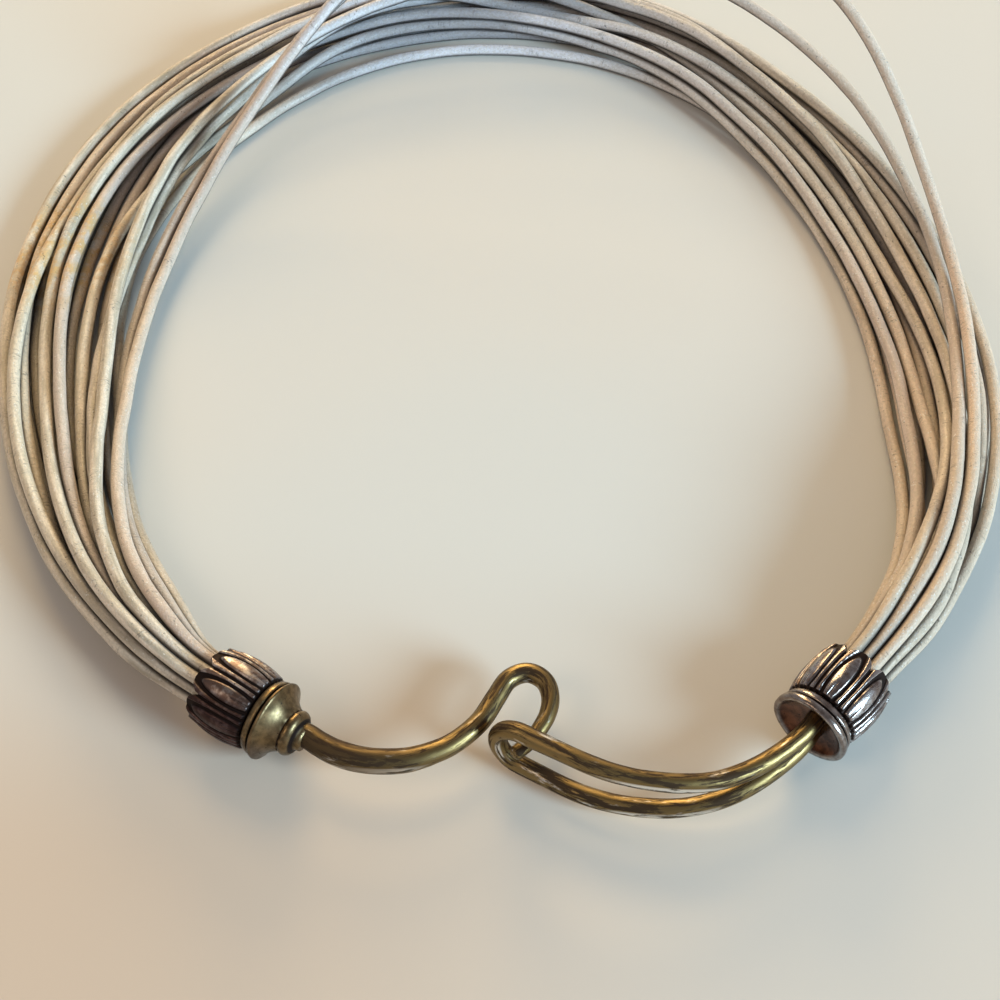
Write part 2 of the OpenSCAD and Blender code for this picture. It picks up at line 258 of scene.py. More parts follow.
def make_piece(name, points, faces, material, fields):
    """A smooth mesh object from points in millimetres, with named point values for its material."""
    mesh = bpy.data.meshes.new(name)
    mesh.from_pydata((points * MM).tolist(), [], faces)
    mesh.validate()
    mesh.polygons.foreach_set("use_smooth", [True] * len(mesh.polygons))
    for label, values in fields.items():
        values = np.asarray(values, np.float32)
        if values.ndim == 2:
            mesh.attributes.new(label, "FLOAT_VECTOR", "POINT").data.foreach_set("vector", values.ravel())
        else:
            mesh.attributes.new(label, "FLOAT", "POINT").data.foreach_set("value", values)
    mesh.materials.append(material)
    mesh.update()
    return place_in_scene(name, mesh)


def settle(piece, node):
    """Declares what a piece rides on and hides the solid it stands for."""
    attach(piece, "root")
    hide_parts(node)


def mouth_place(mouth):
    """Centre of a mouth in millimetres."""
    bearing, radius = radians(mouth[0]), mouth[1]
    return np.array([RING_X + radius * cos(bearing), RING_Y + radius * sin(bearing), CUP_Z])


def axis_of(aim):
    """Direction of a cup's axis, from its mouth to its wire."""
    return np.array([cos(radians(aim)), sin(radians(aim)), 0.0])


# ---------------------------------------------------------------- strands

STRAND_SEED = 400
# Way along the leather's pattern from one strand to the next, so that no two look alike
PATTERN_STEP = 470.0
# Way from a cup over which a strand starts to wander, and how far from a mouth a cup still draws it in
WANDER_FROM, CUP_REACH = 20.0, 40.0
# A strand counts as over another up to this far beside it and from this far above it, each with the
# way over which it fades, and this many over it hide it fully
OVER_BESIDE, OVER_BESIDE_SOFT = 3.2, 1.8
OVER_ABOVE, OVER_ABOVE_SOFT = 0.9, 1.5
OVER_FULL = 2.2
# Skin counts as touching from this far from another strand's middle, with the way over which it sets in
TOUCH_FROM, TOUCH_SOFT = 1.75, 0.60
NEIGHBOUR_STEPS = 6
# Wave lengths along a strand: its wander, its swelling, the twist of its section and its ripple
WANDER_WAVE, SWELL_WAVE, TWIST_WAVE, RIPPLE_WAVE = 17, 9, 23, 2.6


def centre_line(node):
    """Middle of each ring of a strand's solid, from the hook cup to the eye cup."""
    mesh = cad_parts[node].data
    co = np.zeros(len(mesh.vertices) * 3, np.float32)
    mesh.vertices.foreach_get("co", co)
    co = np.unique(co.reshape(-1, 3), axis=0).astype(float) / MM
    if len(co) != RINGS * RING_POINTS:
        raise RuntimeError(f"{node} has {len(co)} corners where {RINGS * RING_POINTS} are expected")
    bearing = np.degrees(np.arctan2(co[:, 1] - RING_Y, co[:, 0] - RING_X))
    bearing[bearing < -90] += 360
    return co[np.argsort(-bearing)].reshape(RINGS, RING_POINTS, 3).mean(1)


def close_up(path, s):
    """Draws the ends of a strand towards the cup axes. Gives the path and how deep each point is in."""
    held = np.zeros(len(path))
    for mouth, aim in ((HOOK_MOUTH, HOOK_AIM), (EYE_MOUTH, EYE_AIM)):
        centre, axis = mouth_place(mouth), axis_of(aim)
        along = (path - centre) @ axis
        near = np.linalg.norm(path - centre, axis=1) < CUP_REACH
        grip = np.where(near, ease(along / (s.squeeze_way / MM) + 1), 0.0)
        spoke = path - centre - along[:, None] * axis
        path = path - spoke * (s.squeeze * grip)[:, None]
        held = np.maximum(held, grip)
    return path, held


def neighbours(node):
    """Middle lines of all strands but one."""
    return [smooth_line(centre_line(other), NEIGHBOUR_STEPS) for other in STRAND_NODES if other != node]


def buried(path, node):
    """How far each point of a strand lies under strands that pass over it, from 0 to 1; the leather is
    painted darker there as shade.
    """
    over = np.zeros(len(path))
    for line in neighbours(node):
        apart = line[None] - path[:, None]
        beside = np.hypot(apart[..., 0], apart[..., 1])
        close = ease((OVER_BESIDE - beside) / OVER_BESIDE_SOFT)
        over += (close * ease((apart[..., 2] - OVER_ABOVE) / OVER_ABOVE_SOFT)).max(1)
    return np.clip(over / OVER_FULL, 0, 1)


def crowded(points, path, node, s):
    """How near each point of a strand's skin is to another strand, from 0 to 1; the leather is painted darker
    there as contact shade.
    """
    skin = points.reshape(len(path), -1, 3)
    near = np.zeros(skin.shape[:2])
    for line in neighbours(node):
        line = close_up(line, s)[0]
        closest = np.linalg.norm(line[None] - path[:, None], axis=-1).argmin(1)
        heading = unit(np.gradient(line, axis=0))[closest][:, None]
        apart = skin - line[closest][:, None]
        apart -= (apart * heading).sum(-1, keepdims=True) * heading
        near = np.maximum(near, ease((TOUCH_FROM - np.linalg.norm(apart, axis=-1)) / TOUCH_SOFT))
    return near.ravel()


def lay_strand(index, node, name):
    """One leather strand over the centre line of its solid."""
    s = bpy.context.scene.collar_strands
    rng = np.random.default_rng(STRAND_SEED + index)
    path = smooth_line(centre_line(node), s.steps)
    deep = buried(path, node)
    run = run_of(path)
    heading = unit(np.gradient(path, axis=0))
    level = unit(np.stack([heading[:, 1], -heading[:, 0], np.zeros(len(path))], -1))
    free = ease(run / WANDER_FROM) * ease((run[-1] - run) / WANDER_FROM)
    path = path + level * (drift(rng, run, WANDER_WAVE) * free * s.waver / MM)[:, None]
    path, held = close_up(path, s)
    radius = s.thickness / 2 / MM + (s.mouth_thickness - s.thickness) / 2 / MM * held
    a = 2 * pi * np.arange(s.sides) / s.sides
    swell = 0.7 * drift(rng, run, SWELL_WAVE)[:, None]
    oval = 0.5 * np.sin(2 * a + 4 * drift(rng, run, TWIST_WAVE)[:, None])
    ripple = 0.35 * drift(rng, run, RIPPLE_WAVE)[:, None] * np.cos(a + rng.uniform(0, 6))
    uneven = 1 + s.unevenness * (swell + oval + ripple)
    points, faces, lay = swept(path, radius[:, None] * uneven, s.sides)
    lay[:, 2] += PATTERN_STEP * (index + 1)
    tone = np.full(len(points), rng.uniform(0, 1))
    piece = make_piece(name, points, faces, bpy.data.materials["pearl_leather"],
                       {"lay": lay, "tone": tone, "deep": np.repeat(deep, s.sides),
                        "gap": crowded(points, path, node, s)})
    settle(piece, node)


# ---------------------------------------------------------------- cups

# Place of the petals' foot along the axis, the radius at which their width is measured, and how finely
# each petal is cut round the cup and along it
FOOT = 10.2
PETAL_ARC = 5.7
PETAL_COLUMNS, PETAL_ROWS = 36, 84
# How much closer together rows lie at the tip than at the foot, and how pointed a tip is
ROW_SPREAD, TIP_CURVE = 1.12, 2.5
# A petal's gap to its edge, the half width of its lobe, where the lobe starts behind the tip and ends past
# the foot, and where the vein starts before the foot
PETAL_GAP, LOBE_WIDE, LOBE_START, LOBE_END, VEIN_START = 0.17, 1.17, 1.0, 1.5, 3.2
# Heights as shares of the relief: bank, rim, lobe, crown of the lobe, vein cut into it, and the ground
BANK_HIGH, RIM_HIGH, LOBE_HIGH, CROWN_HIGH, VEIN_DEEP, GROUND_DEEP = 0.10, 0.80, 0.62, 0.46, 0.6, 0.35
# Bore behind the petals: its radius and the places of its rings, then how far rings of the lip lie behind
# the tip, how much they close in, and how thick the petals are there
BORE_R, BORE_PLACES = 4.60, (8.0, 5.5, 3.4)
LIP_RINGS, LIP_THICK, LIP_BLACK = ((0.9, 0.0), (0.35, 0.04), (0.12, 0.12), (0.0, 0.26)), 0.50, 0.6
# Turned parts are out of round by these shares of their radius, in three and in five waves
OUT_OF_ROUND = (0.007, 0.006)
# Band that sits a little askew, and notches round the neck between the bell and the bead
BAND_PLACE, BAND_ASKEW = (10.32, 11.52), 0.07
NECK_PLACE, NECK_SOFT, NECK_NOTCHES, NECK_DEEP = (14.88, 15.14), 0.14, 17, 0.07


def petal_ground(s_at, c):
    """Radius of the barrel that carries the petals, at places along the axis."""
    mouth, belly, foot = (v / MM for v in (c.mouth_r, c.belly_r, c.foot_r))
    t = s_at / FOOT
    return mouth + (foot - mouth) * t + (belly - (mouth + foot) / 2) * 4 * t * (1 - t)


def petal_relief(x, s_at, half, tip, c):
    """Height and blackness of the relief, x from a petal's middle and at place s_at on the axis."""
    # how far a point lies inside the petal's edge, and inside the oval of its lobe
    edge = np.minimum(half - PETAL_GAP - np.abs(x), (s_at - tip) * 0.80)
    fade = ease((FOOT + 0.02 - s_at) / 0.34)
    first, last = c.tip_at / MM + LOBE_START, FOOT + LOBE_END
    oval = (1 - np.hypot(x / LOBE_WIDE, (s_at - (first + last) / 2) / ((last - first) / 2))) * LOBE_WIDE
    oval = np.where(oval < 0, oval * 1.15, oval)
    bank = ease((edge + 0.03) / 0.16)
    rim = ease((edge + 0.02) / 0.17) * ease((-oval - 0.36) / 0.17) * fade
    lobe = ease((oval + 0.04) / 0.24) * fade
    crown = np.sqrt(np.clip(oval / LOBE_WIDE, 0, 1))
    low = FOOT - VEIN_START
    vein = ease((s_at - low) / 1.2) * (1 - ease((np.abs(x) - 0.02 - 0.02 * (s_at - low)) / 0.11)) * 0.7
    height = c.relief / MM * (BANK_HIGH * bank + RIM_HIGH * rim + (LOBE_HIGH + CROWN_HIGH * crown) * lobe
                              - VEIN_DEEP * vein * lobe - GROUND_DEEP)
    black = 1 - np.clip(rim * 1.15 + lobe * (1 - 0.8 * vein) * 1.2, 0, 1) * ease((FOOT - 0.06 - s_at) / 0.32)
    return height, black


# Turned parts of the cups: place along the axis, radius and blackness
BAND_LINE = [
    (10.20, 4.75, 1.0), (10.30, 4.70, 1.0), (10.36, 5.00, 0.8), (10.42, 5.25, 0.25), (10.55, 5.38, 0.0),
    (10.90, 5.50, 0.0), (11.25, 5.60, 0.0), (11.40, 5.58, 0.05), (11.50, 5.40, 0.4), (11.54, 5.00, 1.0),
    (11.75, 4.95, 1.0)]
BELL_LINE = [
    (11.80, 5.30, 0.8), (11.86, 5.65, 0.2), (12.00, 5.84, 0.0), (12.20, 5.90, 0.0), (12.40, 5.82, 0.0),
    (12.55, 5.52, 0.0), (12.75, 5.12, 0.0), (13.00, 4.74, 0.0), (13.30, 4.38, 0.0), (13.60, 4.08, 0.0),
    (13.90, 3.82, 0.0), (14.20, 3.60, 0.0), (14.50, 3.42, 0.05), (14.75, 3.28, 0.15), (14.95, 3.18, 0.5),
    (15.02, 3.12, 0.8)]
BEAD_LINE = [
    (15.10, 3.20, 0.4), (15.25, 3.32, 0.0), (15.55, 3.38, 0.0), (15.90, 3.30, 0.0), (16.20, 3.10, 0.0),
    (16.40, 2.85, 0.2), (16.50, 2.60, 0.6), (16.60, 2.20, 0.8), (16.75, 1.98, 0.5), (17.10, 1.84, 0.2),
    (17.50, 1.78, 0.0), (17.60, 0.0, 0.0)]
RIM_LINE = [
    (11.80, 5.30, 0.8), (11.86, 5.65, 0.2), (12.00, 5.85, 0.0), (12.40, 5.95, 0.0), (12.80, 5.93, 0.0),
    (13.00, 5.80, 0.0), (13.10, 5.60, 0.0), (13.08, 5.34, 0.1), (12.95, 5.14, 0.35)]
DISH_LINE = [
    (12.70, 4.90, 0.30), (12.40, 4.60, 0.10), (12.15, 4.10, 0.0), (12.02, 3.30, 0.0), (11.95, 2.60, 0.05),
    (11.95, 1.40, 0.4), (11.95, 0.0, 0.9)]


def cup_mesh(c, turned, dish, phase, rng):
    """Points, faces and point values of a cup on its axis: petals, inner wall, turned rings and dish."""
    columns = c.petals * PETAL_COLUMNS
    phi = 2 * pi * np.arange(columns) / columns
    pitch = 2 * pi / c.petals
    half = pitch / 2 * PETAL_ARC
    x = ((phi - radians(phase) + pitch / 2) % pitch - pitch / 2) * PETAL_ARC
    tip = c.tip_at / MM + c.notch / MM * np.abs(x / half) ** TIP_CURVE
    rows = []

    def add(place, radius, black, brown=0.0):
        """One more ring of points, from the bore to the tips, over the petals and on to the wire."""
        rows.append(np.stack([np.broadcast_to(v, phi.shape) for v in (place, radius, black, brown)], -1))

    for place in BORE_PLACES:
        add(place, BORE_R, 1.0)
    for back, inset in LIP_RINGS:
        add(tip + back, petal_ground(tip + back, c) - LIP_THICK + inset, LIP_BLACK)
    for k in range(PETAL_ROWS + 1):
        place = tip + (FOOT - tip) * (k / PETAL_ROWS) ** ROW_SPREAD
        height, black = petal_relief(x, place, half, tip, c)
        add(place, petal_ground(place, c) + height, black)
    for line, brown in ((turned, 0.0), (dish, 1.0)):
        for place, radius, black in line:
            add(place, radius, black, brown)
    place, radius, black, brown = np.moveaxis(np.stack(rows), -1, 0)
    a, b, d = rng.uniform(0, 2 * pi, 3)
    # only the outer rings change, not the root of the wire and the middle of the dish
    waves = OUT_OF_ROUND[0] * np.sin(3 * phi + a) + OUT_OF_ROUND[1] * np.sin(5 * phi + b)
    radius = radius * (1 + waves * (place > FOOT) * (radius > 2.0))
    notches = np.sin(NECK_NOTCHES * phi) * hump(place, *NECK_PLACE, NECK_SOFT)
    radius = radius + NECK_DEEP * notches * (radius > 2.5)
    place = place + BAND_ASKEW * np.cos(phi + d) * (place > BAND_PLACE[0]) * (place < BAND_PLACE[1])
    local = np.stack([radius * np.cos(phi), radius * np.sin(phi), place], -1).reshape(-1, 3)
    return local, ring_faces(len(rows), columns), {
        "lay": local, "black": black.ravel(), "brown": brown.ravel(),
        "turned": (local[:, 2] > FOOT).astype(float)}


def stand_cup(local, mouth, aim):
    """Turns points on a cup axis to their place on the table."""
    a = radians(aim)
    x, y, z = local.T
    turned = np.stack([z * cos(a) - y * sin(a), z * sin(a) + y * cos(a), -x], -1)
    return turned + mouth_place(mouth)


def cast_cup(name, node, mouth, aim, turned, dish, phase, seed):
    """A cup in place, its first petal at the angle phase, with the values its material reads."""
    c = bpy.context.scene.collar_cups
    local, faces, fields = cup_mesh(c, turned, dish, phase, np.random.default_rng(seed))
    material = bpy.data.materials[node + "_silver"]
    piece = make_piece(name, stand_cup(local, mouth, aim), faces, material, fields)
    settle(piece, node)


# ---------------------------------------------------------------- clasp wires

# Points round a wire, and rings from each of its knots to the next
WIRE_SIDES, WIRE_STEPS = 28, 9
HOOK_SEED, EYE_SEED = 77, 91
# Way along the pattern of the wire from the hook to the eye
EYE_PATTERN = 200.0
# How far the wires of the clasp lie under the cup axis, and the rings over which the eye comes down to that
CLASP_DROP, DROP_RINGS = 0.25, 36
# Wave lengths along the wire: its swelling, the twist of its section and its ripple
WIRE_SWELL, WIRE_TWIST, WIRE_RIPPLE = 11, 19, 4
# Half round end of the eye: degrees to either side of straight on, and between its rings
TURN_SWING, TURN_STEP = 84, 6
# The wire of the eye is this much thicker where it is soldered in, over this far
SOLDER_MORE, SOLDER_WAY = 0.05, 3.5
# Dome at the tip of the hook: steps ahead and the share of the radius left at each
TIP_AHEAD, TIP_SHARE = (0.22, 0.20, 0.14, 0.08), (0.95, 0.88, 0.72, 0.45)


def wire_radii(path, base, rng, dents):
    """Radius of a drawn wire with slight dents and flats. base is one value a ring."""
    run = run_of(path)
    a = 2 * pi * np.arange(WIRE_SIDES) / WIRE_SIDES
    swell = drift(rng, run, WIRE_SWELL)[:, None]
    oval = 0.8 * np.sin(2 * a + 3 * drift(rng, run, WIRE_TWIST)[:, None])
    ripple = 0.5 * drift(rng, run, WIRE_RIPPLE)[:, None] * np.cos(3 * a + 1)
    return base[:, None] * (1 + dents * (swell + oval + ripple))


def facing(points, path):
    """Way in which each point of a wire looks out from the middle of its ring."""
    return unit(points.reshape(len(path), WIRE_SIDES, 3) - path[:, None]).reshape(-1, 3)


def round_tip(path, radii):
    """Closes the end of a wire with a dome."""
    ahead = unit(path[-1] - path[-2])
    for way, size in zip(TIP_AHEAD, TIP_SHARE):
        path = np.vstack([path, path[-1:] + ahead * way])
        radii = np.vstack([radii, radii[-1:] * size])
    return path, radii


def draw_hook(name):
    """The hook, from the bead of its cup round to the blunt tip inside the eye."""
    s = bpy.context.scene.collar_clasp
    knots = smooth_line([(RING_X + x, RING_Y + y, CUP_Z + z, wide) for x, y, z, wide in HOOK_LINE],
                        WIRE_STEPS)
    path = knots[:, :3]
    radii = wire_radii(path, knots[:, 3] / 2, np.random.default_rng(HOOK_SEED), s.dents)
    path, radii = round_tip(path, radii)
    points, faces, lay = swept(path, radii, WIRE_SIDES)
    piece = make_piece(name, points, faces, bpy.data.materials["tarnished_wire"],
                       {"lay": lay, "facing": facing(points, path)})
    settle(piece, "hook_cup")


def draw_eye(name):
    """The long eye: out along the upper leg, round the end and back along the lower leg."""
    s = bpy.context.scene.collar_clasp
    knots = smooth_line([(RING_X + x, RING_Y + y, high, lean) for x, y, high, lean in EYE_LINE],
                        WIRE_STEPS)
    plan, high, lean = knots[:, :3] * [1, 1, 0], knots[:, 2:3], knots[:, 3:4]
    ahead = unit(np.gradient(plan, axis=0))
    back = np.stack([ahead[:, 1], -ahead[:, 0], np.zeros(len(plan))], -1)
    rise = np.array([0.0, 0.0, 1.0])
    middle = CUP_Z - CLASP_DROP
    coming_down = np.clip(1 - np.arange(len(plan)) / DROP_RINGS, 0, 1)
    lift = rise * (middle + CLASP_DROP * coming_down)[:, None]
    top = plan + lift + rise * high + back * lean
    low = plan + lift - rise * high - back * lean
    swing = np.radians(np.arange(TURN_SWING, -TURN_SWING - 1, -TURN_STEP))[:, None]
    turn = (plan[-1] + rise * middle + high[-1] * (np.cos(swing) * ahead[-1] + np.sin(swing) * rise)
            + lean[-1] * np.sin(swing) * back[-1])
    path = np.vstack([top, turn, low[::-1]])
    hold = np.vstack([ahead, np.repeat(ahead[-1:], len(turn), 0), ahead[::-1]])
    side = unit(np.stack([hold[:, 1], -hold[:, 0], np.zeros(len(hold))], -1))
    run = run_of(path)
    soldered = 2 - ease(run / SOLDER_WAY) - ease((run[-1] - run) / SOLDER_WAY)
    base = s.wire / 2 / MM * (1 + SOLDER_MORE * soldered)
    radii = wire_radii(path, base, np.random.default_rng(EYE_SEED), s.dents)
    points, faces, lay = swept(path, radii, WIRE_SIDES, side)
    lay[:, 2] += EYE_PATTERN
    piece = make_piece(name, points, faces, bpy.data.materials["tarnished_wire"],
                       {"lay": lay, "facing": facing(points, path)})
    settle(piece, "eye_cup")


# ---------------------------------------------------------------- materials

VEC, NUM, COL = "NodeSocketVector", "NodeSocketFloat", "NodeSocketColor"


class Wiring:
    """Short ways to add nodes to one tree."""

    def __init__(self, tree):
        self.tree = tree

    def feed(self, node, inputs):
        """Gives inputs of a node their links or values."""
        for key, value in dict(inputs).items():
            socket = node.inputs[key]
            if isinstance(value, bpy.types.NodeSocket):
                self.tree.links.new(value, socket)
            elif socket.type == "RGBA":
                socket.default_value = (*tuple(value)[:3], 1.0)
            else:
                socket.default_value = value

    def add(self, kind, inputs=(), **settings):
        """A new node with its settings and inputs."""
        made = self.tree.nodes.new(kind)
        for key, value in settings.items():
            setattr(made, key, value)
        self.feed(made, inputs)
        return made

    def group(self, name, inputs):
        """Outputs of a shared node group."""
        return self.add("ShaderNodeGroup", inputs, node_tree=bpy.data.node_groups[name]).outputs

    def maths(self, how, a, b=0.0, c=0.0):
        """One step of arithmetic."""
        return self.add("ShaderNodeMath", {0: a, 1: b, 2: c}, operation=how).outputs[0]

    def times(self, first, *others):
        """Product of values."""
        for other in others:
            first = self.maths("MULTIPLY", first, other)
        return first

    def most(self, first, *others):
        """Largest of values."""
        for other in others:
            first = self.maths("MAXIMUM", first, other)
        return first

    def scaled(self, value, factor, start):
        """Value times factor, plus start."""
        return self.maths("MULTIPLY_ADD", value, factor, start)

    def ramp(self, value, low, high):
        """Value brought from low..high to 0..1, smoothly."""
        return self.add("ShaderNodeMapRange", {"Value": value, "From Min": low, "From Max": high},
                        interpolation_type="SMOOTHSTEP").outputs["Result"]

    def blend(self, factor, a, b):
        """Colour a where factor is 0 and b where it is 1."""
        return self.add("ShaderNodeMix", {0: factor, 6: a, 7: b}, data_type="RGBA").outputs[2]

    def noise(self, vector, scale, detail=3.0, rough=0.55, twist=0.0):
        """Cloudy pattern from 0 to 1."""
        return self.add("ShaderNodeTexNoise", {"Vector": vector, "Scale": scale, "Detail": detail,
                                               "Roughness": rough, "Distortion": twist}).outputs["Fac"]

    def cells(self, vector, scale):
        """Distance from the nearest of scattered points."""
        return self.add("ShaderNodeTexVoronoi", {"Vector": vector, "Scale": scale}).outputs["Distance"]

    def bump(self, height, strength, distance_mm):
        """Normals of a surface with that height."""
        return self.add("ShaderNodeBump", {"Height": height, "Strength": strength,
                                           "Distance": distance_mm * MM}).outputs["Normal"]

    def stored(self, label, output="Fac"):
        """Value that the mesh keeps at its points."""
        return self.add("ShaderNodeAttribute", attribute_name=label).outputs[output]

    def place(self):
        """Place in the frame, in metres."""
        return self.add("ShaderNodeTexCoord").outputs["Object"]

    def parts(self, vector):
        """X, Y and Z of a vector."""
        return self.add("ShaderNodeSeparateXYZ", {0: vector}).outputs

    def stretch(self, vector, *scale):
        """A vector scaled by x, y and z."""
        return self.add("ShaderNodeMapping", {"Vector": vector, "Scale": scale}).outputs[0]

    def towards(self, vector, way):
        """How far a vector reaches in a direction."""
        return self.add("ShaderNodeVectorMath", {0: vector, 1: way}, operation="DOT_PRODUCT").outputs["Value"]

    def area(self, place_parts, sides):
        """1 in an area and 0 outside it. A side is an axis, where the area starts and where it is full."""
        return self.times(*(self.ramp(place_parts[axis], start, full) for axis, start, full in sides))

    def spot(self, place, x, y, near, far):
        """1 within near millimetres of a place in the bundle, falling to 0 at far."""
        middle = (x * MM, y * MM, SPOT_HEIGHT)
        away = self.add("ShaderNodeVectorMath", {0: place, 1: middle}, operation="DISTANCE").outputs["Value"]
        return self.ramp(away, far * MM, near * MM)


def new_group(name, inputs, outputs):
    """Wiring of an empty node group, what it is given and the node that takes its results."""
    group = bpy.data.node_groups.new(name, "ShaderNodeTree")
    for label, kind, value in inputs:
        socket = group.interface.new_socket(name=label, in_out="INPUT", socket_type=kind)
        if value is not None:
            socket.default_value = value
    for label, kind in outputs:
        group.interface.new_socket(name=label, in_out="OUTPUT", socket_type=kind)
    return Wiring(group), group.nodes.new("NodeGroupInput").outputs, group.nodes.new("NodeGroupOutput")


def build_fine_grain():
    """Fine pebbling with short cross ticks in patches, for leather, castings and wires."""
    w, given, out = new_group(
        "fine_grain",
        [("Vector", VEC, None), ("Grain Scale", NUM, 6.0), ("Tick Low", NUM, 0.60), ("Tick High", NUM, 0.68)],
        [("Height", NUM), ("Ticks", NUM)])
    pebbles = w.cells(given["Vector"], given["Grain Scale"])
    fine = w.noise(given["Vector"], given["Grain Scale"], 2.0, 0.5)
    ticks = w.ramp(w.noise(w.stretch(given["Vector"], 0.9, 0.9, 4.0), 1.0, 2.0),
                   given["Tick Low"], given["Tick High"])
    patches = w.ramp(w.noise(given["Vector"], 0.30, 2.0), 0.50, 0.66)
    ticks = w.times(ticks, patches)
    w.feed(out, {"Height": w.scaled(ticks, -0.8, w.scaled(fine, 0.8, pebbles)), "Ticks": ticks})


def build_colour_drift():
    """Slow change between two colours, for leather and the floor."""
    w, given, out = new_group(
        "colour_drift",
        [("Vector", VEC, None), ("Scale", NUM, 1.0), ("Low", NUM, 0.35), ("High", NUM, 0.65),
         ("Colour A", COL, None), ("Colour B", COL, None)],
        [("Color", COL)])
    share_of_b = w.ramp(w.noise(given["Vector"], given["Scale"], 2.5, 0.5), given["Low"], given["High"])
    w.feed(out, {"Color": w.blend(share_of_b, given["Colour A"], given["Colour B"])})


def build_tarnish():
    """Worn metal under tarnish, dark streaks and black, for castings and wires; on the wire the black also
    carries painted shade.
    """
    w, given, out = new_group(
        "tarnish",
        [("Vector", VEC, None), ("Streaks", VEC, None), ("Black", NUM, 0.0), ("Metal", COL, None),
         ("Bloom", COL, None), ("Soil", COL, None), ("Bloom Low", NUM, 0.4), ("Bloom High", NUM, 0.6),
         ("Soil Low", NUM, 0.58), ("Soil High", NUM, 0.66)],
        [("Color", COL), ("Soil", NUM), ("Roughness", NUM), ("Height", NUM)])
    cloud = w.noise(given["Vector"], 0.8, 5.0, 0.62)
    bloom = w.ramp(cloud, given["Bloom Low"], given["Bloom High"])
    streaks = w.noise(given["Streaks"], 1.0, 6.0, 0.68, 0.25)
    soil_and_shade = w.most(w.ramp(streaks, given["Soil Low"], given["Soil High"]), given["Black"])
    fine = w.noise(given["Vector"], 9.0)
    w.feed(out, {
        "Color": w.blend(soil_and_shade, w.blend(bloom, given["Metal"], given["Bloom"]), given["Soil"]),
        "Soil": soil_and_shade,
        "Roughness": w.scaled(soil_and_shade, 0.28, w.scaled(bloom, 0.10, w.scaled(fine, 0.16, 0.07))),
        "Height": w.scaled(fine, 0.35, w.times(cloud, 0.8))})


def new_material(name):
    """Wiring of a new material, and its shader."""
    made = bpy.data.materials.new(name)
    made.use_nodes = True
    return Wiring(made.node_tree), made.node_tree.nodes["Principled BSDF"]


def darker(tint, keep):
    """A colour with that share of its brightness."""
    return tuple(v * keep for v in tint)


# Areas of the ring, in metres: each side is an axis, where the area starts and where it is full
# The leather takes painted light tints and painted shade in these areas
AT_BACK = [("Y", 0.030, 0.068), ("X", -0.058, -0.020), ("X", 0.062, 0.028)]
AT_RIGHT = [("X", 0.030, 0.066), ("Y", 0.040, -0.005)]
AT_LEFT = [("X", -0.045, -0.070), ("Y", 0.050, 0.015)]
LOW_RIGHT = [("X", 0.035, 0.058), ("Y", -0.010, -0.040)]
HIGH_RIGHT = [("X", 0.006, 0.034), ("Y", 0.000, 0.030)]
# Spots: x and y in millimetres, full within the third value and gone at the fourth, round a point
# that lies this many metres over the table
SPOT_HEIGHT = 0.006
STAIN = (-72.5, 16.0, 7.0, 17.0)
SILVERY = [(-47.0, 66.3, 5.0, 13.0), (57.0, -57.0, 4.0, 13.0)]
# Spot of painted warm shade on the floor in front at the left
PAINTED_ROSY_FLOOR = (-40.0, -105.0, 60.0, 210.0)


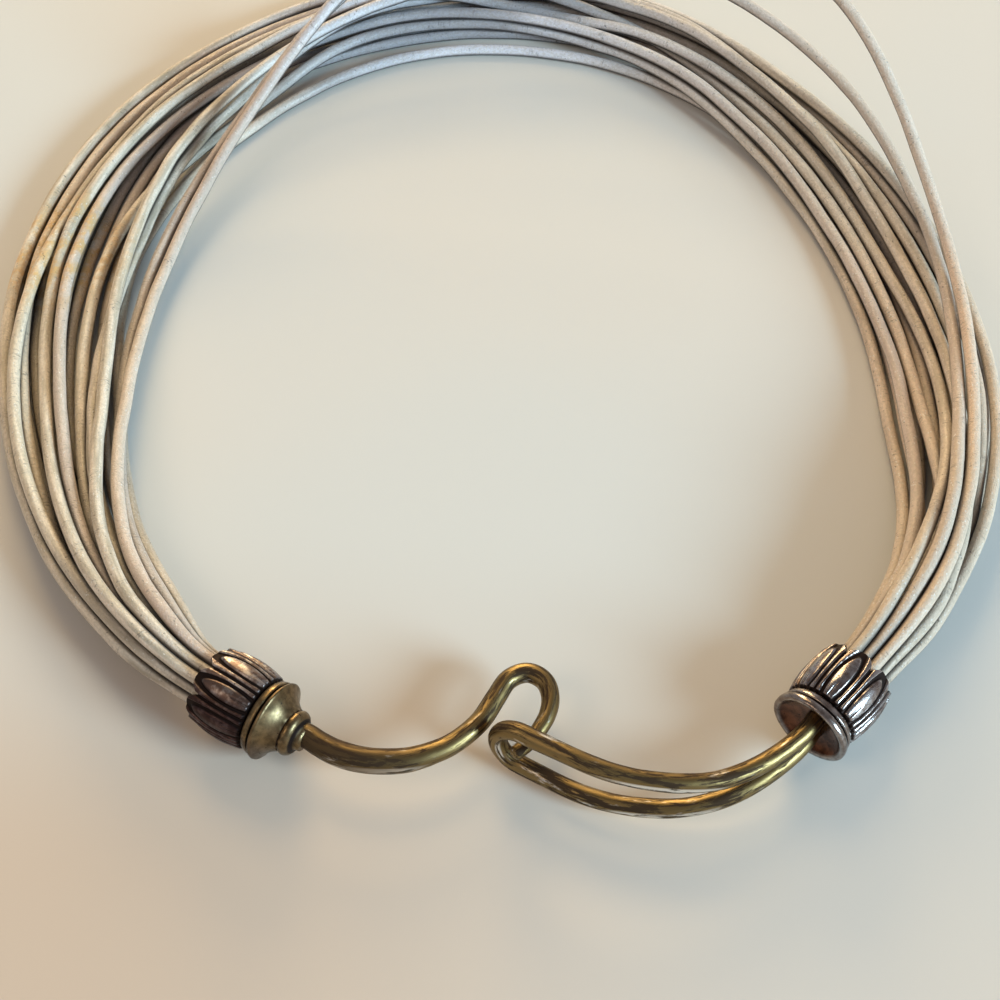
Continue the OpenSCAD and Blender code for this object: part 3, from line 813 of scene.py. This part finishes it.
def leather_material(s):
    """Pearl finished leather: random tones, a stain, grain, creases, pits and flecks, with painted light
    tints (cool at the back, cream at the left, peach at the right), painted warm shade low at the right,
    painted light high at the right, and painted shade on lower flanks, under covering strands and where
    strands touch.
    """
    w, shader = new_material("pearl_leather")
    # lay runs round and along a strand in millimetres, and tone is one random value a strand
    lay, tone = w.stored("lay", "Vector"), w.stored("tone")
    own = w.maths("FRACT", w.times(tone, 7.0))
    other = w.maths("FRACT", w.times(tone, 23.0))
    place = w.place()
    where = w.parts(place)
    back, right = w.area(where, AT_BACK), w.area(where, AT_RIGHT)
    low_right, high_right = w.area(where, LOW_RIGHT), w.area(where, HIGH_RIGHT)
    drifted = w.group("colour_drift", {"Vector": w.stretch(lay, 1.0, 1.0, 0.10), "Scale": 1.1, "Low": 0.34,
                                       "High": 0.68, "Colour A": s.pearl, "Colour B": s.shade})
    stain = w.times(w.spot(place, *STAIN), w.ramp(w.noise(lay, 0.5), 0.40, 0.60))
    mottle = w.ramp(w.noise(w.stretch(lay, 1.0, 1.0, 0.7), 2.6, 4.0, 0.70), 0.40, 0.62)
    silvery = w.most(*(w.spot(place, *spot) for spot in SILVERY), w.times(back, 0.75),
                     w.ramp(w.noise(lay, 0.9, 2.0), 0.50, 0.58))
    flecks = w.times(w.ramp(w.cells(w.stretch(lay, 1.0, 1.0, 0.6), 2.3), 0.32, 0.12), silvery)
    tint = drifted["Color"]
    # Layers of colour from the first to the last: where each lies, how strong it is, and its colour. Random
    # tones come first; the layers at the back, right, left, low right and high right are painted light and
    # shade.
    for cover, strength, colour_on_top in (
            (tone, 0.32, s.shade),
            (w.ramp(other, 0.55, 0.80), 0.60, s.mauve),
            (w.ramp(own, 0.70, 0.95), 0.45, s.blush),
            # painted light tints: bluish at the back, peach at the right, cream at the left
            (back, 0.85, s.cool),
            (right, w.scaled(own, 0.60, 0.25), s.blush),
            (w.area(where, AT_LEFT), w.scaled(own, 0.45, 0.15), s.cream),
            # painted warm shade low at the right
            (low_right, 0.30, s.blush),
            (low_right, 0.30, s.shade),
            # painted light high at the right
            (high_right, 0.45, s.pearl),
            (stain, 0.75, s.stain),
            (mottle, 0.36, s.shade),
            (flecks, 0.65, s.fleck)):
        tint = w.blend(w.times(cover, strength), tint, colour_on_top)
    # Painted shade on the lower side of each strand, on strands that others cover (less at the right) and
    # where strands touch
    under = w.times(w.ramp(w.parts(lay)["Y"], -0.28, 0.46), 0.95)
    covered = w.times(w.stored("deep"), w.scaled(w.most(right, high_right), -0.33, 0.48))
    touching = w.times(w.stored("gap"), 0.92)
    tint = w.blend(w.most(under, covered, touching), tint, s.soil_and_shade)
    grain = w.group("fine_grain", {"Vector": lay, "Grain Scale": 3.4, "Tick Low": 0.56, "Tick High": 0.66})
    pits = w.ramp(w.noise(w.stretch(lay, 1.0, 1.0, 0.8), 1.7, 3.0, 0.6), 0.66, 0.72)
    marks = w.most(w.times(grain["Ticks"], 0.38), w.times(pits, 0.55))
    w.feed(shader, {
        "Base Color": w.blend(marks, tint, s.soil_and_shade),
        "Roughness": w.scaled(mottle, 0.18, w.scaled(flecks, -0.20, 0.42)),
        "Normal": w.bump(w.scaled(mottle, 0.5, grain["Height"]), 0.85, 0.07),
        "Metallic": 0.0, "Sheen Weight": 0.10, "Sheen Roughness": 0.4,
        "Coat Weight": 0.14, "Coat Roughness": 0.25})


# Finish of each cup: brightness of its silver, how golden its turned rings are, where its tarnish starts and
# is full, the side on which shade is painted, where that starts and is full, how far it darkens, and what
# adds to the roughness
CUP_FINISHES = {
    "hook_cup": {"bright": 0.72, "golden": 1.0, "bloom": (0.32, 0.58), "shaded_way": (0.50, -0.86, 0.0),
                 "shaded_band": (-4.2, 2.0), "dim": 0.92, "dull": 0.16},
    "eye_cup": {"bright": 0.62, "golden": 0.20, "bloom": (0.36, 0.66), "shaded_way": (0.60, -0.80, 0.0),
                "shaded_band": (-1.0, 5.0), "dim": 0.35, "dull": 0.02}}


def cup_material(node, finish, c):
    """Cast silver with black grooves, golden turned rings and a brown dish, with painted shade on one side.
    """
    w, shader = new_material(node + "_silver")
    lay, brown = w.stored("lay", "Vector"), w.stored("brown")
    gilt = w.times(w.stored("turned"), finish["golden"])
    # Painted shade: the cup darkens towards one side, and its turned rings turn rosy grey there
    side = w.towards(lay, finish["shaded_way"])
    painted_shade = w.times(w.ramp(side, *finish["shaded_band"]), finish["dim"])
    painted_rosy = w.times(w.ramp(side, 2.2, 5.2), 0.75)
    # body is the rubbed metal and flank the tarnish beside it
    body = w.blend(painted_shade, darker(c.silver, finish["bright"]), c.umber)
    body = w.blend(gilt, body, w.blend(painted_rosy, c.gilt, c.bloom))
    body = w.blend(brown, body, c.dish)
    flank = w.blend(painted_shade, c.bloom, darker(c.umber, 0.55))
    flank = w.blend(gilt, flank, darker(c.gilt, 0.26))
    flank = w.blend(brown, flank, darker(c.dish, 0.35))
    low, high = finish["bloom"]
    worn_and_painted_light = w.group("tarnish", {
        "Vector": lay, "Streaks": w.stretch(lay, 1.6, 1.6, 0.7),
        "Black": w.ramp(w.stored("black"), 0.16, 0.66), "Metal": body, "Bloom": flank, "Soil": c.soot,
        "Bloom Low": w.scaled(gilt, -0.10, low), "Bloom High": w.scaled(gilt, 0.22, high),
        "Soil Low": 0.60, "Soil High": 0.70})
    grain = w.group("fine_grain", {"Vector": lay, "Grain Scale": 4.5})
    w.feed(shader, {
        "Base Color": worn_and_painted_light["Color"],
        "Roughness": w.maths("ADD", worn_and_painted_light["Roughness"], finish["dull"]),
        "Metallic": w.scaled(worn_and_painted_light["Soil"], -0.10, 1.0),
        "Normal": w.bump(w.scaled(grain["Height"], 0.35, worn_and_painted_light["Height"]), 0.30, 0.05)})


# Directions in which the clasp wire is painted with shade and with a bright highlight
DARK_WAY, HIGHLIGHT_WAY = (0.0, 0.82, 0.57), (0.0, -0.988, 0.156)


def wire_material(s):
    """Drawn wire in olive gold tarnish with dark streaks, painted shade on its upper back side and a painted
    highlight low on its front.
    """
    w, shader = new_material("tarnished_wire")
    lay, way = w.stored("lay", "Vector"), w.stored("facing", "Vector")
    # The hook is browner from its bead up to 25 mm along the wire
    rooted = w.times(w.ramp(w.parts(lay)["Z"], 25.0, 9.0), 0.80)
    patchy = w.ramp(w.noise(w.stretch(lay, 0.8, 0.8, 0.12), 1.0), 0.40, 0.56)
    highlight_patches = w.ramp(w.noise(w.stretch(lay, 0.3, 0.3, 0.07), 1.0, 2.0), 0.36, 0.50)
    # Painted shade on the upper back side of the wire, in patches
    back = w.times(w.ramp(w.towards(way, DARK_WAY), 0.74, 0.93), patchy)
    black = w.most(back, w.times(rooted, patchy))
    # Painted highlight low on the front, in patches and away from the bead, in the bright metal colour
    painted_highlight = w.times(w.ramp(w.towards(way, HIGHLIGHT_WAY), 0.925, 0.982),
                     w.times(highlight_patches, w.maths("SUBTRACT", 1.0, rooted)))
    worn_and_painted_light = w.group("tarnish", {
        "Vector": w.stretch(lay, 1.0, 1.0, 0.22), "Streaks": w.stretch(lay, 1.35, 1.35, 0.17),
        "Black": w.times(black, 0.85), "Metal": s.worn_and_painted_light,
        "Bloom": w.blend(painted_highlight, w.blend(rooted, s.gilt, s.umber), s.worn_and_painted_light),
        "Soil": w.blend(painted_highlight, s.streak, s.umber),
        "Bloom Low": 0.26, "Bloom High": 0.42, "Soil Low": 0.480, "Soil High": 0.57})
    grain = w.group("fine_grain", {"Vector": w.stretch(lay, 1.0, 1.0, 0.4), "Grain Scale": 3.0})
    w.feed(shader, {
        "Base Color": worn_and_painted_light["Color"],
        "Roughness": w.maths("ADD", worn_and_painted_light["Roughness"], 0.14),
        "Metallic": w.scaled(worn_and_painted_light["Soil"], -0.25, 1.0),
        "Normal": w.bump(w.scaled(grain["Height"], 0.25, worn_and_painted_light["Height"]), 0.34, 0.05)})


def floor_material(s):
    """Pale floor with a faint drift of warm and cool, and painted warm shade that makes it rosier in front at
    the left.
    """
    w, shader = new_material("pale_floor")
    place = w.place()
    where = w.parts(place)
    drifted = w.group("colour_drift", {"Vector": place, "Scale": 7.0, "Low": 0.36, "High": 0.64,
                                       "Colour A": s.floor, "Colour B": s.floor_cool})
    # Painted warm shade: the floor is rosier in front, more so at the left
    left = w.scaled(w.ramp(where["X"], 0.050, -0.060), 0.65, 0.35)
    painted_rosy = w.times(left, w.ramp(where["Y"], -0.035, -0.095), w.spot(place, *PAINTED_ROSY_FLOOR))
    w.feed(shader, {"Base Color": w.blend(painted_rosy, drifted["Color"], s.floor_rosy),
                    "Roughness": 0.55, "Specular IOR Level": 0.25})


def build_materials():
    """Builds the shared groups and every material once."""
    if "tarnish" in bpy.data.node_groups:
        return
    build_fine_grain()
    build_colour_drift()
    build_tarnish()
    scene = bpy.context.scene
    leather_material(scene.collar_strands)
    for node, finish in CUP_FINISHES.items():
        cup_material(node, finish, scene.collar_cups)
    wire_material(scene.collar_clasp)
    floor_material(scene.collar_stage)


# ---------------------------------------------------------------- stage

# Camera: place and clipping in metres, tilt in degrees, lens and sensor in millimetres
CAMERA_PLACE, CAMERA_TILT = (0.001375, -0.19094, 0.2269), 35.0
CAMERA_LENS, CAMERA_SENSOR, CAMERA_CLIP = 64.8, 36.0, (0.01, 20.0)
# Half the side of the floor, and how far it lies under the strands, in metres
FLOOR_HALF, FLOOR_DROP = 2.0, 0.00003
# Lamps: name, place, diameter, the setting with its power, tint. All look at the middle of the ring
LAMPS = [
    ("warm_lamp", (-0.20, 1.00, 0.955), 0.55, "warm_power", (1.0, 0.74, 0.38)),
    ("low_warm_lamp", (-0.10, 1.33, 0.42), 0.50, "low_warm_power", (1.0, 0.74, 0.38)),
    ("fill_lamp", (-0.52, -0.30, 0.62), 0.40, "fill_power", (1.0, 0.78, 0.54)),
    ("cool_lamp", (1.30, -0.72, 0.64), 0.60, "cool_power", (0.56, 0.83, 1.0))]
# Colour of the even light from all round
SURROUND = (0.985, 0.96, 0.99)


def set_camera():
    """The camera in front of and above the clasp, looking down at the ring."""
    data = bpy.data.cameras.new("camera")
    data.lens, data.sensor_width = CAMERA_LENS, CAMERA_SENSOR
    data.clip_start, data.clip_end = CAMERA_CLIP
    camera = place_in_scene("camera", data)
    camera.location = CAMERA_PLACE
    camera.rotation_euler = (radians(CAMERA_TILT), 0, 0)
    bpy.context.scene.camera = camera


def set_floor():
    """A plain square floor under the collar."""
    mesh = bpy.data.meshes.new("floor")
    corners = [(x * FLOOR_HALF, y * FLOOR_HALF, 0) for x, y in ((-1, -1), (1, -1), (1, 1), (-1, 1))]
    mesh.from_pydata(corners, [], [(0, 1, 2, 3)])
    mesh.materials.append(bpy.data.materials["pale_floor"])
    floor = place_in_scene("floor", mesh)
    floor.location.z = -FLOOR_DROP


def set_lamps(s):
    """Soft round lamps: warm ones behind and at the left, a cool one in front at the right."""
    for name, place, size, setting, tint in LAMPS:
        light = bpy.data.lights.new(name, "AREA")
        light.shape, light.size, light.energy, light.color = "DISK", size, getattr(s, setting), tint
        lamp = place_in_scene(name, light)
        lamp.location = place
        lamp.rotation_euler = lamp.location.to_track_quat("Z", "Y").to_euler()


def set_surround(s):
    """Even light from all round, stronger near the horizon than overhead."""
    world = bpy.data.worlds.new("soft_surround")
    world.use_nodes = True
    w = Wiring(world.node_tree)
    height = w.parts(w.add("ShaderNodeTexCoord").outputs["Generated"])["Z"]
    strength = w.scaled(w.ramp(height, 0.0, 1.0), s.high_sky - s.low_sky, s.low_sky)
    w.feed(world.node_tree.nodes["Background"], {"Color": SURROUND, "Strength": strength})
    bpy.context.scene.world = world


# ---------------------------------------------------------------- operators

class COLLAR_OT_stage(bpy.types.Operator):
    """Sets the camera, the lamps, the surround and the pale floor"""

    bl_idname = "collar.stage"
    bl_label = "Set the stage"

    def execute(self, context):
        s = context.scene.collar_stage
        build_materials()
        set_camera()
        set_floor()
        set_lamps(s)
        set_surround(s)
        context.scene.view_settings.view_transform = "Standard"
        return {"FINISHED"}


class COLLAR_OT_lying_strands(bpy.types.Operator):
    """Lays the seventeen strands of the bundle"""

    bl_idname = "collar.lying_strands"
    bl_label = "Lay the bundle"

    def execute(self, context):
        build_materials()
        for index, node in enumerate(LYING_NODES):
            lay_strand(index, node, "leather_" + node)
        return {"FINISHED"}


class COLLAR_OT_sprung_strands(bpy.types.Operator):
    """Lays the two strands that have sprung out of the bundle"""

    bl_idname = "collar.sprung_strands"
    bl_label = "Lay the sprung strands"

    def execute(self, context):
        build_materials()
        for index, node in enumerate(SPRUNG_NODES, len(LYING_NODES)):
            lay_strand(index, node, "leather_" + node.replace("strand_", ""))
        return {"FINISHED"}


class COLLAR_OT_hook_cup(bpy.types.Operator):
    """Casts the cup with the bell and bead"""

    bl_idname = "collar.hook_cup"
    bl_label = "Cast the hook cup"

    def execute(self, context):
        build_materials()
        cast_cup("hook_cup_casting", "hook_cup", HOOK_MOUTH, HOOK_AIM,
                 turned=BAND_LINE + BELL_LINE + BEAD_LINE, dish=(), phase=22.5, seed=5)
        return {"FINISHED"}


class COLLAR_OT_eye_cup(bpy.types.Operator):
    """Casts the cup with the dished flange"""

    bl_idname = "collar.eye_cup"
    bl_label = "Cast the eye cup"

    def execute(self, context):
        build_materials()
        cast_cup("eye_cup_casting", "eye_cup", EYE_MOUTH, EYE_AIM,
                 turned=BAND_LINE + RIM_LINE, dish=DISH_LINE, phase=0.0, seed=6)
        return {"FINISHED"}


class COLLAR_OT_clasp(bpy.types.Operator):
    """Draws the wire of the hook and of the long eye"""

    bl_idname = "collar.clasp"
    bl_label = "Draw the hook and eye"

    def execute(self, context):
        build_materials()
        draw_hook("hook_wire")
        draw_eye("eye_wire")
        return {"FINISHED"}


STEPS = ("stage", "lying_strands", "sprung_strands", "hook_cup", "eye_cup", "clasp")


class COLLAR_PT_panel(bpy.types.Panel):
    """Lists the steps of the collar"""

    bl_label = "Leather strand collar"
    bl_idname = "COLLAR_PT_panel"
    bl_space_type = "VIEW_3D"
    bl_region_type = "UI"
    bl_category = "Collar"

    def draw(self, context):
        for step in STEPS:
            self.layout.operator("collar." + step)


CLASSES = (StrandSettings, CupSettings, ClaspSettings, StageSettings, COLLAR_OT_stage,
           COLLAR_OT_lying_strands, COLLAR_OT_sprung_strands, COLLAR_OT_hook_cup, COLLAR_OT_eye_cup,
           COLLAR_OT_clasp, COLLAR_PT_panel)
GROUPS = {"collar_strands": StrandSettings, "collar_cups": CupSettings, "collar_clasp": ClaspSettings,
          "collar_stage": StageSettings}


def register():
    """Adds the classes and their settings."""
    for cls in CLASSES:
        bpy.utils.register_class(cls)
    for label, cls in GROUPS.items():
        setattr(bpy.types.Scene, label, PointerProperty(type=cls))


def unregister():
    """Takes the settings and the classes away."""
    for label in GROUPS:
        delattr(bpy.types.Scene, label)
    for cls in reversed(CLASSES):
        bpy.utils.unregister_class(cls)


def main():
    """Makes every piece and the stage."""
    register()
    for step in STEPS:
        getattr(bpy.ops.collar, step)()
    bpy.context.view_layer.update()


if __name__ == "__main__":
    main()
